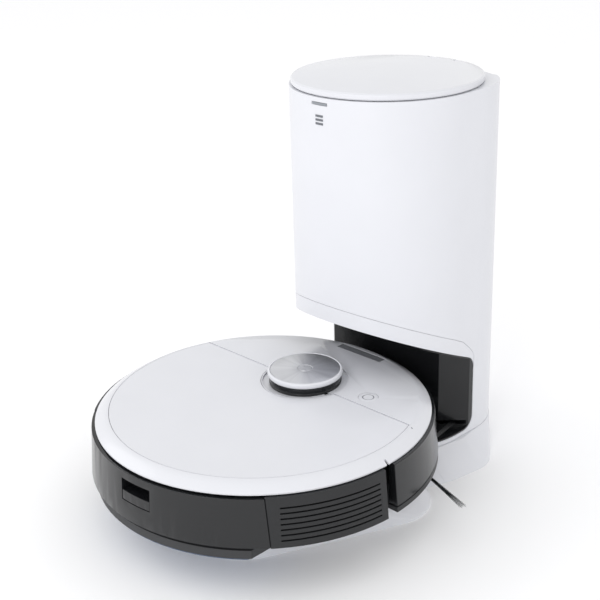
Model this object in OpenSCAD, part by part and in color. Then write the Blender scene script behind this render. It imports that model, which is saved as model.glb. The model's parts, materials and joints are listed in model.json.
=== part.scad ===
// Robot vacuum and mop docked on its self-emptying station.
// Origin: on the floor, under the upright axis of the docked robot.
// +Z is up, +Y points from the robot to the station tower. Millimetres.

/* [Station] */
// Overall height of the station
station_h = 430; // [360:1:520]
// Width of the ramp plate
plate_w = 300; // [270:1:360]
// How far the ramp plate reaches out in front of the robot's axis
plate_front = 114; // [105:1:150]
// Height of the level part of the ramp plate
plate_h = 37.5; // [30:0.5:37.5]
// Radius of the tower's round front
tower_r = 105; // [96:1:112]
// Distance from the robot's axis to the tower's upright axis
tower_y = 199; // [196:1:206]
// Back face of the tower, measured from the robot's axis
tower_back = 305; // [296:1:320]
// Wall thickness of the station housings
wall = 3; // [2.4:0.1:4]
// Thickness of the bag lid
bag_lid_t = 7.2; // [6:0.1:9]
// Radius of the bag lid
bag_lid_r = 103; // [94:1:104]

/* [Docking mouth] */
// Height of the overhang's edge at the front of the tower
mouth_front_z = 178; // [165:1:190]
// Fall of the overhang per millimetre towards the back
mouth_fall = 0.453; // [0.3:0.01:0.5]
// Back edge of the mouth, seen from the side
mouth_back = 225; // [218:1:228]
// Height of the floor inside the mouth
mouth_floor = 33; // [32:0.5:36]
// Depth of the trim band above the mouth
trim_depth = 18; // [12:1:24]

/* [Robot] */
// Diameter of the white rim
robot_d = 353; // [340:1:360]
// Height of the robot's flat top above the ground it stands on
deck_h = 80.5; // [78:0.5:86]
// Height of the robot with its sensor turret
robot_h = 93.6; // [92:0.1:98]
// Gap between the ground and the robot's underside
ground_gap = 16; // [14:0.5:17]
// Height of the docked robot above the floor
dock_h = 38; // [38:0.5:42]
// How far the black side stands out under the rim
skirt_top = 3.5; // [0:0.1:4]
// How far the black side stands out at its bottom edge
skirt_bottom = 8; // [0:0.1:9]
// Width of the break between the bumper and the rear side panels
bumper_gap = 12; // [8:0.5:16]
// Travel of the bumper
bumper_travel = 4; // [2:0.5:5]

/* [Sensor turret and button] */
// Distance from the robot's axis to the turret's axis
turret_y = 63; // [58:1:68]
// Radius of the turret's cap
cap_r = 41; // [36:0.5:43]
// Radius of the power button
button_r = 10.5; // [8:0.5:12]
// Travel of the power button
button_travel = 1.2; // [0.8:0.1:1.5]

/* [Wheels and brushes] */
// Radius of a drive wheel with its tyre
wheel_r = 33; // [30:0.5:33]
// Width of a tyre
tyre_w = 20; // [16:0.5:21]
// Inner face of a tyre, from the robot's middle
tyre_x = 98; // [97:0.5:99]
// Radius of the main brush with its fins
brush_r = 17; // [14:0.5:18]
// Length of the main brush between its journals
brush_len = 152; // [130:1:154]
// Radius swept by a side brush
side_brush_r = 106; // [80:1:110]
// Radius of the caster wheel
caster_r = 10.4; // [9:0.1:10.8]
// Radial running clearance of pins and axles
fit = 0.05; // [0.03:0.01:0.08]

/* [Water tank] */
// Half width of the water tank
tank_x = 128.3; // [120:0.1:130]
// Depth of the mop plate's front edge from the robot's axis
mop_front = 62; // [56:1:80]
// Travel of the tank's release latch
latch_travel = 4; // [2:0.5:5]

/* [Hidden] */
$fn = 96;
hull_fn = 32;
e = 0.3;
white = [0.93, 0.93, 0.94];
black = [0.06, 0.06, 0.07];
grey = [0.45, 0.46, 0.48];
dark = [0.2, 0.2, 0.21];
steel = [0.72, 0.73, 0.75];
robot_r = robot_d / 2;
side_r = robot_r - 1.5;
core_r = robot_r - 13.5;
inner_r = core_r - 3;
rim_in = robot_r - 14.5;
rim_z = deck_h - 8.5;
seam_z = 28;
deck_z = station_h - bag_lid_t - 0.8;
corner_r = 72;
corner_x = tower_r - corner_r;
corner_y = tower_back - corner_r;
lid_pin_y = tower_y + bag_lid_r - 4;
lid_pin_z = station_h - bag_lid_t / 2;
lid_axis_y = turret_y - 7;
brush_y = 60;
lid_half = sqrt(rim_in * rim_in - lid_axis_y * lid_axis_y) - 1;
liner_t = 1.6;
lid_axis_z = deck_h - 1.9;
recess_r = cap_r + 6;
drum_r = cap_r - 4;
button_x = 80;
button_y = 76;
tank_y = 104;
pocket_x = tank_x + 0.5;
panel_y = 124;
latch_x = 10;
hub_x = 110;
hub_y = 108;
brush_z = brush_r + 4.5;
axle_y = 54;
axle_z = 34;
caster_y = 128;
trail = 5;
gap_y = -10;
base_back = tower_back + 2;
chamber_z = 224;
contact_y = 154;
bin_front = turret_y - recess_r - 3;
duct_x = -45;
duct_y = 258;
sensor_angles = [20, 62, 118, 160, 205, 335];
arm_angles = [-19, 101, 221];
arm_r = 32;
pads = [[-84, 60], [84, 60], [-40, -80], [40, -80], [-70, 240], [70, 240]];

// ---------- shared shapes ----------

module docked() {
    translate([0, 0, dock_h])
        children();
}

module box(lo, hi) {
    translate(lo)
        cube([hi[0] - lo[0], hi[1] - lo[1], hi[2] - lo[2]]);
}

// Cylinder along X from x0 to x1 about the line (y, z).
module rod_x(x0, x1, y, z, r) {
    translate([x0, y, z])
        rotate([0, 90, 0])
            cylinder(r = r, h = x1 - x0);
}

// Side view shape, drawn in Y and Z, carried across the whole width.
module across(half = 170) {
    translate([-half, 0, 0])
        rotate([90, 0, 90])
            linear_extrude(height = 2 * half)
                children();
}

// Plan of the tower: round front, straight sides, rounded back corners.
module tower_plan(inset = 0) {
    hull() {
        translate([0, tower_y])
            circle(r = tower_r - inset, $fn = 120);
        for (s = [-1, 1])
            translate([s * corner_x, corner_y])
                circle(r = corner_r - inset, $fn = 64);
    }
}

module tower_prism(z0, z1, inset = 0) {
    translate([0, 0, z0])
        linear_extrude(height = z1 - z0)
            tower_plan(inset);
}

function overhang_z(y) = mouth_front_z - mouth_fall * (y - tower_y + tower_r);

// Side view of the docking mouth: sloping overhang, round back corners.
module mouth_profile(grow = 0) {
    offset(delta = grow)
        offset(r = 16, $fn = 64)
            offset(delta = -16)
                polygon([[20, mouth_floor], [mouth_back, mouth_floor],
                    [mouth_back, overhang_z(mouth_back)], [20, overhang_z(20)]]);
}

// Side view of the trim band, which tapers to a point at the back of the mouth.
module trim_profile(grow = 0) {
    offset(delta = grow)
        difference() {
            polygon([[20, overhang_z(20)],
                [mouth_back - 8, overhang_z(mouth_back - 8)],
                [mouth_back, overhang_z(mouth_back) - 10],
                [mouth_back, overhang_z(mouth_back) + 2],
                [mouth_back - 3, overhang_z(mouth_back) + 9],
                [mouth_back - 9, overhang_z(mouth_back) + 16],
                [mouth_back - 20, overhang_z(mouth_back - 20) + trim_depth - 1],
                [mouth_back - 34, overhang_z(mouth_back - 34) + trim_depth],
                [20, overhang_z(20) + trim_depth]]);
            mouth_profile();
        }
}

// Ring sector of the robot's side wall between two angles.
module side_sector(r0, r1, z0, z1, a0, a1) {
    translate([0, 0, z0])
        rotate([0, 0, a0])
            rotate_extrude(angle = a1 - a0)
                translate([r0, 0])
                    square([r1 - r0, z1 - z0]);
}

// Outward-leaning side of the robot, drawn back by an inset.
module skirt(z0, z1, inset = 0) {
    function lean(z) = robot_r - inset + skirt_bottom
        + (skirt_top - skirt_bottom) * (z - ground_gap) / (rim_z - ground_gap);
    translate([0, 0, z0])
        cylinder(r1 = lean(z0), r2 = lean(z1), h = z1 - z0);
}

module disc(r, z0, z1) {
    translate([0, 0, z0])
        cylinder(r = r, h = z1 - z0);
}

module mirror_x() {
    for (s = [0, 1])
        mirror([s, 0, 0])
            children();
}

// ---------- station ----------

module plate_outline(inset = 0) {
    hull()
        mirror_x() {
            translate([plate_w / 2 - 50, 78])
                circle(r = 50 - inset, $fn = hull_fn);
            translate([30, 58 - plate_front])
                circle(r = 58 - inset, $fn = hull_fn);
        }
}

// Height of the nose's slope at a distance behind its front edge.
function ramp_z(d) = 3 + (plate_h - 3) * d / (plate_front - 24);

// Low turtle-back ramp: sides and nose slope from the level top to the floor.
module plate_body(inset, top) {
    hull() {
        linear_extrude(height = 3 - inset / 2)
            plate_outline(inset);
        mirror_x() {
            translate([plate_w / 2 - 62, 82, 0])
                cylinder(r = 30 - inset, h = top, $fn = hull_fn);
            translate([plate_w / 2 - 52, -4, 0])
                cylinder(r = 20 - inset, h = top, $fn = hull_fn);
        }
    }
    translate([0, tower_y, 0])
        cylinder(r1 = tower_r + 31 - inset, r2 = tower_r + 3 - inset, h = seam_z);
    translate([0, tower_y, 0])
        cylinder(r = tower_r + 3 - inset, h = top);
}

module dock_plate() {
    color(white)
        difference() {
            plate_body(0, plate_h);
            difference() {
                translate([0, 0, -0.01])
                    plate_body(wall + 1.5, plate_h - wall);
                box([-200, 142, -1], [200, 200, 60]);
                // Stiffening webs under the wheel tracks
                for (x = [-112, -62, 58, 108])
                    box([x, -200, 2.8], [x + 4, 200, 60]);
            }
            box([-200, 150, -1], [200, 400, 60]);
            translate([0, 0, -1])
                linear_extrude(height = 3.7)
                    cover_plan(0.4);
            // Wide slot for the dust outlet under the main brush
            box([-48, 46, 20], [48, 74, 60]);
            // Passage for the duct through the webs and the back wall
            box([-54, 40, -1], [54, 151, 31]);
            // Grip grooves across the nose of the ramp
            for (i = [0:4])
                translate([0, 30 + i * 11 - plate_front, ramp_z(30 + i * 11) - 1.2])
                    box([-60, 0, 0], [60, 2.4, 40]);
        }
}

module cover_plan(grow = 0) {
    plate_outline(wall + 6 - grow);
    intersection() {
        hull()
            mirror_x() {
                translate([tower_r - 33, tower_y - 24])
                    circle(r = 51 + grow);
                translate([tower_r - 8, tower_y + 6])
                    circle(r = 31 + grow);
                translate([corner_x, corner_y])
                    circle(r = corner_r - 6.6 + grow);
            }
        translate([-200, 100])
            square([400, base_back - 109 + grow]);
    }
    translate([-92 - grow, 60])
        square([184 + 2 * grow, 120]);
}

// Flat underside of the station; its pads lie flush in round pockets.
module bottom_cover() {
    color(dark)
        difference() {
            linear_extrude(height = 2.4)
                cover_plan();
            for (p = pads)
                translate([p[0], p[1], -1])
                    cylinder(r = 9.3, h = 5);
        }
}

module grip_pads() {
    color(dark)
        for (p = pads)
            translate([p[0], p[1], 0])
                cylinder(r = 9, h = 2.2);
}

// Wide foot of the tower with a flared skirt.
module base_body(inset) {
    hull()
        mirror_x() {
            translate([tower_r - 33, tower_y - 24, 0])
                cylinder(r1 = 60 - inset, r2 = 32 - inset, h = seam_z, $fn = 64);
            translate([tower_r - 8, tower_y + 6, 0])
                cylinder(r1 = 40 - inset, r2 = 12 - inset, h = seam_z, $fn = 64);
            translate([corner_x, corner_y, 0])
                cylinder(r1 = corner_r + 2.4 - inset, r2 = corner_r + 0.5 - inset, h = seam_z, $fn = 64);
        }
}

module tower_base() {
    color(white)
        difference() {
            base_body(0);
            difference() {
                translate([0, 0, -0.01])
                    base_body(wall + 1);
                box([-200, 0, seam_z - wall], [200, 400, 60]);
                box([-200, 0, -1], [200, 156, 60]);
                box([-200, base_back - wall, -1], [200, 400, 60]);
            }
            box([-200, -10, -1], [200, 150 + e, 60]);
            box([-200, base_back, -1], [200, 400, 60]);
            // Passage for the dust duct
            box([-54, 140, -1], [54, 170, seam_z - 1.7]);
            translate([duct_x, duct_y, 0])
                cylinder(r = 17, h = 60);
            translate([0, 0, -1])
                linear_extrude(height = 3.7)
                    cover_plan(0.4);
            // Socket for the power inlet
            box([1.6, base_back - 20, 8.6], [30.4, base_back + 20, 22.4]);
        }
}

module power_inlet() {
    color(black)
        difference() {
            box([2, base_back - 18, 9], [30, base_back + 1, 22]);
            box([4.5, base_back - 14, 11], [27.5, base_back + 20, 20]);
        }
}

module mouth_cut(grow = 0) {
    across()
        mouth_profile(grow);
}

module tower_shell() {
    color(white)
        difference() {
            union() {
                difference() {
                    tower_prism(seam_z + e, deck_z);
                    // Bag chamber with a round opening in its top deck
                    tower_prism(chamber_z, deck_z - wall, wall);
                    translate([0, tower_y, chamber_z])
                        cylinder(r = bag_lid_r - 15, h = 300);
                    // Space behind the neck for motor and duct
                    difference() {
                        tower_prism(seam_z + e + wall, chamber_z - wall, wall);
                        mouth_cut(wall);
                        across()
                            trim_profile(wall);
                        box([-200, 0, 0], [200, mouth_back + wall, 80]);
                    }
                    mouth_cut();
                    across()
                        trim_profile(e);
                    box([-200, -10, 0], [200, 150 + e, 60]);
                    // Lowered back edge that lets the lid swing
                    box([-200, lid_pin_y - 7, deck_z - 1.6], [200, 400, deck_z + 9]);
                }
                // Ears of the lid hinge
                for (x = [-22, 14]) {
                    rod_x(x, x + 8, lid_pin_y, lid_pin_z, 3.4);
                    box([x, lid_pin_y - 3.4, deck_z - 2], [x + 8, lid_pin_y + 3.4, lid_pin_z]);
                }
            }
            rod_x(-40, 40, lid_pin_y, lid_pin_z, 1.6 + 0.02);
            // Dust duct passes up behind the bag chamber
            translate([duct_x, duct_y, 0])
                cylinder(r = 17, h = chamber_z + 0.1);
            // Light bar and bag symbol seats
            box([-11, 80, station_h - 16], [11, tower_y - tower_r + 1.2, station_h - 12.6]);
        }
}

module mouth_trim() {
    color(white)
        difference() {
            intersection() {
                tower_prism(60, 260);
                across()
                    trim_profile();
            }
            difference() {
                tower_prism(60, 260, wall);
                mouth_cut(wall);
            }
            box([-200, mouth_back - 0.4, 0], [200, 400, 300]);
        }
}

// Glossy liner of the mouth, with a flat panel whose wings fold back to the sides.
module neck_panel() {
    color(black)
        intersection() {
            tower_prism(seam_z, 300, 0.6);
            across()
                mouth_profile(-e);
            union() {
                difference() {
                    box([-200, 151.5, 0], [200, 300, 300]);
                    across()
                        mouth_profile(-e - liner_t);
                }
                difference() {
                    linear_extrude(height = 300)
                        polygon([[-tower_r, mouth_back - 6], [-80, mouth_back - 31],
                            [80, mouth_back - 31], [tower_r, mouth_back - 6],
                            [tower_r, mouth_back], [tower_r - 8, mouth_back],
                            [78.5, mouth_back - 26.5], [-78.5, mouth_back - 26.5],
                            [8 - tower_r, mouth_back], [-tower_r, mouth_back]]);
                    // Room for the sweeping tips of the side brushes
                    docked()
                        mirror_x()
                            translate([hub_x, hub_y, 0.2])
                                cylinder(r = side_brush_r + 3, h = 5);
                }
            }
        }
}

module station_lid() {
    color(white)
        difference() {
            union() {
                translate([0, tower_y, deck_z + 0.8])
                    cylinder(r = bag_lid_r - 1.2, h = 1.3);
                translate([0, tower_y, deck_z + 2])
                    cylinder(r = bag_lid_r, h = bag_lid_t - 2.6);
                translate([0, tower_y, station_h - 1.5])
                    cylinder(r1 = bag_lid_r, r2 = bag_lid_r - 1.5, h = 1.5);
            }
            // Seats of the two hinge ears
            for (x = [-22.5, 13.5])
                box([x, lid_pin_y - 4.4, deck_z], [x + 9, 400, station_h + 1]);
            rod_x(-23, 23, lid_pin_y, lid_pin_z, 1.6 + fit);
            // Hollow underside
            translate([0, tower_y, deck_z - 0.01])
                cylinder(r = 84, h = 2.8);
        }
}

module lid_hinge_pin() {
    color(steel)
        rod_x(-22, 22, lid_pin_y, lid_pin_z, 1.6);
}

module dust_bag() {
    color([0.8, 0.78, 0.72])
        translate([0, tower_y, chamber_z + 4.5])
            cylinder(r = 80, h = 133.5);
}

// Rubber collar between the duct's outlet and the bag.
module bag_collar() {
    color(grey)
        translate([duct_x, duct_y, chamber_z])
            difference() {
                cylinder(r = 24, h = 4);
                translate([0, 0, -1])
                    cylinder(r = 13, h = 6);
            }
}

module suction_motor() {
    color(dark)
        translate([42, duct_y + 6, seam_z + e + wall]) {
            cylinder(r = 33, h = 80);
            translate([0, 0, 79])
                cylinder(r = 27, h = 40);
            translate([0, 0, 118])
                cylinder(r = 14, h = 16);
        }
}

// Runs under the plate from the dust outlet, then up behind the bag chamber.
module dust_duct() {
    color(grey)
        difference() {
            union() {
                box([-50, 44, 4], [50, 76, 30]);
                box([-30, 75, 4], [30, 162, 24]);
                hull() {
                    box([-30, 160, 4], [30, 162, 24]);
                    box([duct_x - 13, duct_y - 13, 4], [duct_x + 13, duct_y + 13, 24]);
                }
                translate([duct_x, duct_y, 4])
                    cylinder(r = 16, h = chamber_z - 5);
            }
            box([-46, 48, 7], [46, 72, 60]);
            box([-27, 60, 7], [27, 162, 21]);
            hull() {
                box([-27, 159, 7], [27, 162, 21]);
                box([duct_x - 10, duct_y - 10, 7], [duct_x + 10, duct_y + 10, 21]);
            }
            translate([duct_x, duct_y, 7])
                cylinder(r = 13, h = 300);
        }
}

module port_seal() {
    color(dark)
        difference() {
            box([-47.8, 46.2, 30.2], [47.8, 73.8, plate_h + 0.4]);
            box([-42, 52, 7], [42, 68, 60]);
        }
}

module charge_contacts() {
    color(steel)
        mirror_x()
            box([8, contact_y, mouth_floor + e + liner_t], [22, contact_y + 8, dock_h + ground_gap - 1.6]);
}

module light_bar() {
    color([0.62, 0.66, 0.7])
        intersection() {
            box([-10, 80, station_h - 15.6], [10, tower_y - tower_r + 1, station_h - 13]);
            tower_prism(0, station_h, -0.15);
        }
}

// Small sign of three bars under the light bar.
module bag_symbol() {
    color(grey)
        for (i = [0:2])
            translate([-5, tower_y - tower_r - 0.45, station_h - 36 + i * 4])
                cube([10, 0.45, 2.2]);
}

// ---------- robot: body ----------

module chassis() {
    color(dark)
        docked()
            difference() {
                union() {
                    disc(core_r, ground_gap, ground_gap + 3.5);
                    difference() {
                        disc(core_r, ground_gap, rim_z + 1.3);
                        disc(inner_r, ground_gap + 1, rim_z + 9);
                    }
                    // Housing of the main brush
                    box([-84, 34, ground_gap], [84, 86, 44]);
                    // Caster well
                    translate([0, caster_y, ground_gap])
                        cylinder(r = 22.5, h = 20);
                    // Side brush bearings
                    mirror_x()
                        translate([hub_x, hub_y, ground_gap - 2])
                            cylinder(r = 8, h = 24);
                    // Brackets of the wheel arms
                    mirror_x()
                        for (x = [78, 97.2])
                            box([x, axle_y - 6, ground_gap + 3], [x + 4, axle_y + 6, axle_z + 6]);
                    // Columns that carry the top shell
                    for (a = [80, 100, 202, 338])
                        rotate([0, 0, a])
                            translate([core_r - 10, 0, ground_gap + 3])
                                cylinder(r = 6, h = rim_z - ground_gap - 1.2);
                }
                box([-79.5, 38.5, 0], [79.5, 81.5, 41]);
                rod_x(-90, 90, brush_y, brush_z, 3 + fit);
                // Dust passage from the brush up to the bin
                box([-40, 30, 34], [40, 50, 40]);
                // Openings for the wheels and their arms
                mirror_x() {
                    box([82.6, -30, 0], [96.8, axle_y + 7, 80]);
                    box([96, -36, 0], [120.5, 36, 90]);
                }
                mirror_x()
                    rod_x(76, 104, axle_y, axle_z, 2.5 + 0.02);
                translate([0, caster_y, 0])
                    cylinder(r = 20, h = 26);
                translate([0, caster_y, 0])
                    cylinder(r = 4 + fit, h = 60);
                mirror_x()
                    translate([hub_x, hub_y, 0])
                        cylinder(r = 4 + fit, h = 60);
                // Bay of the water tank, open to the back
                box([-pocket_x, -200, 0], [pocket_x, -tank_y, 100]);
                // Battery hatch
                box([-66, -100, 0], [66, -54, ground_gap + 10]);
            }
}

// Bevelled rim all round, with the fixed deck in front of the hinge line.
module top_shell() {
    color(white)
        docked()
            difference() {
                union() {
                    rotate_extrude()
                        polygon([[rim_in - 4, rim_z + 2.2], [rim_in - 4, deck_h - 4],
                            [rim_in, deck_h - 4], [rim_in, deck_h], [robot_r - 13, deck_h],
                            [robot_r - 1.5, rim_z + 1.5], [robot_r, rim_z], [robot_r, rim_z - 1.5],
                            [robot_r - 3, rim_z - 1.5], [robot_r - 3, rim_z]]);
                    intersection() {
                        disc(rim_in + 1, deck_h - 2.5, deck_h);
                        box([-200, lid_axis_y + 2.2, 0], [200, 200, 100]);
                    }
                    // Well of the sensor turret
                    translate([0, turret_y, deck_h - 12])
                        cylinder(r = recess_r + 1.1, h = 12);
                }
                // Turret well and the drum's seat
                translate([0, turret_y, deck_h - 2])
                    cylinder(r = recess_r, h = 10);
                translate([0, turret_y, deck_h - 10])
                    cylinder(r = drum_r + 0.9, h = 20);
                translate([0, turret_y, deck_h - 20])
                    cylinder(r = 6 + fit, h = 20);
                // Power button hole
                translate([button_x, button_y, deck_h - 20])
                    cylinder(r = button_r + 0.3, h = 40);
                // Front window seat
                box([-32.4, 147.6, deck_h - 1.2], [32.4, 158.4, deck_h + 5]);
                // Breaks in the rim at the bumper's ends
                for (s = [-1, 1])
                    translate([s * robot_r, gap_y + bumper_gap / 2, rim_z])
                        cube([9, 3, 30], center = true);
                // Seats of the lid pins
                rod_x(-157, 157, lid_axis_y, lid_axis_z, 1 + 0.02);
                // Room for the lid's hinge roll
                box([-lid_half - 1.2, lid_axis_y - 3.6, lid_axis_z - 2.2],
                    [lid_half + 1.2, lid_axis_y + 2.2, deck_h + 1]);
            }
}

// Cover under the lid, with the bin's opening.
module inner_deck() {
    color(grey)
        docked()
            difference() {
                intersection() {
                    disc(rim_in - 4.6, deck_h - 6.5, deck_h - 4.6);
                    box([-200, -200, 0], [200, lid_axis_y - 4, 200]);
                }
                box([-79, -99, 0], [69, bin_front + 1, 100]);
                translate([0, turret_y, 0])
                    cylinder(r = recess_r + 2.2, h = 100);
            }
}

module robot_lid() {
    color(white)
        docked()
            difference() {
                union() {
                    intersection() {
                        disc(rim_in - 0.5, deck_h - 2.5, deck_h);
                        box([-200, -200, 0], [200, lid_axis_y, 200]);
                    }
                    rod_x(-lid_half, lid_half, lid_axis_y, lid_axis_z, 1.9);
                }
                translate([0, turret_y, 0])
                    cylinder(r = recess_r + 1.4 + e, h = 200);
                rod_x(-160, 160, lid_axis_y, lid_axis_z, 1 + fit);
                // Finger notch at the back edge
                translate([0, -rim_in - 4, deck_h - 2.6])
                    cylinder(r = 14, h = 1.2);
            }
}

// Two pins of the robot's lid and two of the wheel arms.
module hinge_pins() {
    color(steel)
        docked() {
            for (x = [-lid_half - 4.5, lid_half - 13.5])
                rod_x(x, x + 18, lid_axis_y, lid_axis_z, 1);
            mirror_x()
                rod_x(78, 101.2, axle_y, axle_z, 2.5);
        }
}

// Rear side panel with long air slots, between the tank and the bumper.
module grille() {
    difference() {
        intersection() {
            side_sector(core_r + 0.6, side_r + 20, ground_gap + 1.5, rim_z - 2.4, -48, -3.5);
            skirt(ground_gap, rim_z);
        }
        for (i = [0:6])
            side_sector(side_r + 1, side_r + 20, ground_gap + 8 + i * 5.6,
                ground_gap + 9.6 + i * 5.6, -39, -6);
        box([0, -300, 0], [tank_x + 1.2, 0, 200]);
        box([0, -300, 0], [300, 0.8 - panel_y, 200]);
    }
}

module grille_right() {
    color(black)
        docked()
            grille();
}

module grille_left() {
    color(black)
        docked()
            mirror([1, 0, 0])
                grille();
}

module front_window() {
    color(grey)
        docked()
            box([-32, 148, deck_h - 1.1], [32, 158, deck_h - 0.1]);
}

// ---------- robot: sensor turret and button ----------

module turret_window() {
    color(black)
        docked()
            translate([0, turret_y, deck_h - 2])
                difference() {
                    cylinder(r = cap_r - 1.6, h = robot_h - deck_h - 4);
                    translate([0, 0, -1])
                        cylinder(r = drum_r + 0.9, h = 30);
                }
}

module turret_cap() {
    color(white)
        docked()
            translate([0, turret_y, robot_h - 6]) {
                difference() {
                    union() {
                        cylinder(r1 = cap_r - 1, r2 = cap_r, h = 2);
                        translate([0, 0, 1.99])
                            cylinder(r = cap_r, h = 2.01);
                        translate([0, 0, 3.99])
                            cylinder(r1 = cap_r, r2 = cap_r - 1.5, h = 2.01);
                    }
                    translate([0, 0, 5])
                        cylinder(r = cap_r - 3, h = 5);
                }
            }
}

module cap_disc() {
    color(steel)
        docked()
            translate([0, turret_y, robot_h - 0.95])
                difference() {
                    cylinder(r = cap_r - 3.2, h = 0.8);
                    translate([0, 0, 0.5])
                        difference() {
                            cylinder(r = 8.2, h = 1);
                            cylinder(r = 7, h = 1);
                        }
                }
}

// Spinning range finder inside the window.
module turret_drum() {
    color(dark)
        docked()
            translate([0, turret_y, 0])
                difference() {
                    union() {
                        translate([0, 0, deck_h - 9.6])
                            cylinder(r = drum_r, h = robot_h - deck_h + 3);
                        translate([0, 0, deck_h - 16])
                            cylinder(r = 6, h = 8);
                    }
                    // Beam windows
                    for (x = [-14, 14])
                        translate([x, 3 - drum_r, deck_h + 2])
                            rotate([90, 0, 0])
                                cylinder(r = 3, h = 10);
                }
}

module power_button() {
    color(white)
        docked()
            translate([button_x, button_y, deck_h - 5]) {
                cylinder(r = button_r, h = 5);
                translate([0, 0, -1])
                    cylinder(r = button_r + 1.6, h = 1.2);
            }
}

// ---------- robot: inside ----------

module dust_bin() {
    color([0.25, 0.26, 0.28])
        docked()
            difference() {
                box([-78, -98, 46], [68, bin_front, deck_h - 6]);
                box([-75.5, -95.5, 48.5], [46, bin_front - 2.5, deck_h - 8.5]);
                box([-60, bin_front - 5, 52], [30, bin_front + 5, deck_h - 12]);
                box([50, -84, 50], [65.5, -4, 100]);
            }
}

module bin_filter() {
    color([0.9, 0.9, 0.86])
        docked()
            box([50.4, -83.6, 50.4], [65.1, -4.4, deck_h - 6.5]);
}

module blower_fan() {
    color(dark)
        docked()
            translate([100, -72, ground_gap + 4]) {
                cylinder(r = 26, h = 26);
                translate([0, 0, 25])
                    cylinder(r = 13, h = 18);
                box([10, -8, 4], [35, 8, 20]);
            }
}

module battery() {
    color([0.15, 0.3, 0.5])
        docked()
            box([-62, -98, ground_gap + 4], [62, -56, 44]);
}

module battery_door() {
    color(dark)
        docked()
            difference() {
                box([-65.6, -99.6, ground_gap], [65.6, -54.4, ground_gap + 3]);
                for (x = [-58, 58])
                    translate([x, -60, -1])
                        cylinder(r = 3, h = ground_gap + 2.6);
            }
}

module main_board() {
    color([0.1, 0.35, 0.2])
        docked() {
            box([-46, 108.5, 56], [46, 144, 57.6]);
            box([-30, 112, 57.5], [-6, 136, 61]);
            box([8, 116, 57.5], [40, 130, 63]);
        }
}

module brush_guard() {
    color(grey)
        docked()
            difference() {
                box([-90, 30, ground_gap - 3], [90, 90, ground_gap - 0.3]);
                box([-79, 41, 0], [79, 79, 40]);
            }
}

module cliff_sensors() {
    color(black)
        docked()
            for (a = sensor_angles)
                rotate([0, 0, a])
                    translate([core_r - 12, 0, ground_gap - 1.2])
                        cylinder(r = 5, h = 1);
}

module charge_pads() {
    color(steel)
        docked()
            mirror_x()
                box([7, contact_y - 3, ground_gap - 1.2], [23, contact_y + 4, ground_gap]);
}

// ---------- robot: bumper ----------

module bumper_ring(r0, inset, z0, z1) {
    intersection() {
        difference() {
            skirt(z0, z1, inset);
            disc(r0, z0 - 1, z1 + 1);
        }
        box([-200, gap_y + bumper_gap, 0], [200, 200, 200]);
    }
}

module bumper_shell() {
    color(black)
        docked()
            bumper_ring(robot_r - 4.5, 0, ground_gap + 8.6, rim_z - 1.9);
}

module bumper_strip() {
    color(dark)
        docked() {
            bumper_ring(robot_r - 7.5, 0.5, ground_gap + 2, ground_gap + 7.4);
            intersection() {
                bumper_ring(robot_r - 7.5, 0, ground_gap + 7.3, ground_gap + 30);
                disc(robot_r - 4.8, 0, 100);
            }
        }
}

// ---------- robot: water tank and mop ----------

module tank_block(r, x, y, z0, z1) {
    intersection() {
        disc(r, z0, z1);
        box([-x, -300, 0], [x, -y, 200]);
    }
}

module water_tank() {
    color(black)
        docked()
            difference() {
                intersection() {
                    union() {
                        tank_block(side_r + 30, tank_x, tank_y + 0.6, ground_gap + 2.4, rim_z - 3.6);
                        // Ends that wrap round to meet the slotted panels
                        difference() {
                            box([-160, -220, ground_gap + 2.4], [160, -panel_y, rim_z - 3.6]);
                            cylinder(r = core_r + 0.6, h = 200);
                        }
                    }
                    skirt(ground_gap, rim_z);
                }
                tank_block(side_r - 14, tank_x - 6, tank_y + 3.6, ground_gap + 5.4, rim_z - 6.6);
                // Finger recess and latch slot
                box([latch_x - 20, -200, 38], [latch_x + 20, -163.6, 61]);
                // Filler hole
                translate([80, -116, 60])
                    cylinder(r = 6, h = 20);
            }
}

module fill_plug() {
    color(dark)
        docked()
            translate([80, -116, 0])
                disc(5.7, rim_z - 9, rim_z - 3.4);
}

module tank_latch() {
    color(black)
        docked()
            intersection() {
                skirt(38.6, 48.4, 0.3);
                box([latch_x - 19.4, -300, 0], [latch_x + 19.4, -164.2, 200]);
            }
}

module mop_plate() {
    color(dark)
        docked() {
            tank_block(side_r + 5, tank_x - 8, mop_front, 4, ground_gap - 3);
            tank_block(side_r + 2, tank_x - 4, tank_y + 4, ground_gap - 3.2, ground_gap + 2.4);
        }
}

module mop_pad() {
    color([0.55, 0.6, 0.66])
        docked()
            tank_block(side_r + 3.5, tank_x - 11, mop_front + 4, 0.4, 3.7);
}

// ---------- robot: running gear ----------

module wheel_arm() {
    difference() {
        union() {
            hull() {
                rod_x(83, 96.4, 0, wheel_r, 17);
                rod_x(83, 96.4, axle_y, axle_z, 6);
            }
        }
        rod_x(80, 100, axle_y, axle_z, 2.5 + fit);
        rod_x(86, 100, 0, wheel_r, 4 + fit);
    }
}

module wheel_arm_right() {
    color(grey)
        docked()
            wheel_arm();
}

module wheel_arm_left() {
    color(grey)
        docked()
            mirror([1, 0, 0])
                wheel_arm();
}

module wheel_hub() {
    rod_x(tyre_x + 0.5, tyre_x + tyre_w - 1, 0, wheel_r, wheel_r - 7);
    rod_x(87, tyre_x + 1, 0, wheel_r, 4);
}

module wheel_hub_right() {
    color(grey)
        docked()
            wheel_hub();
}

module wheel_hub_left() {
    color(grey)
        docked()
            mirror([1, 0, 0])
                wheel_hub();
}

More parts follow.
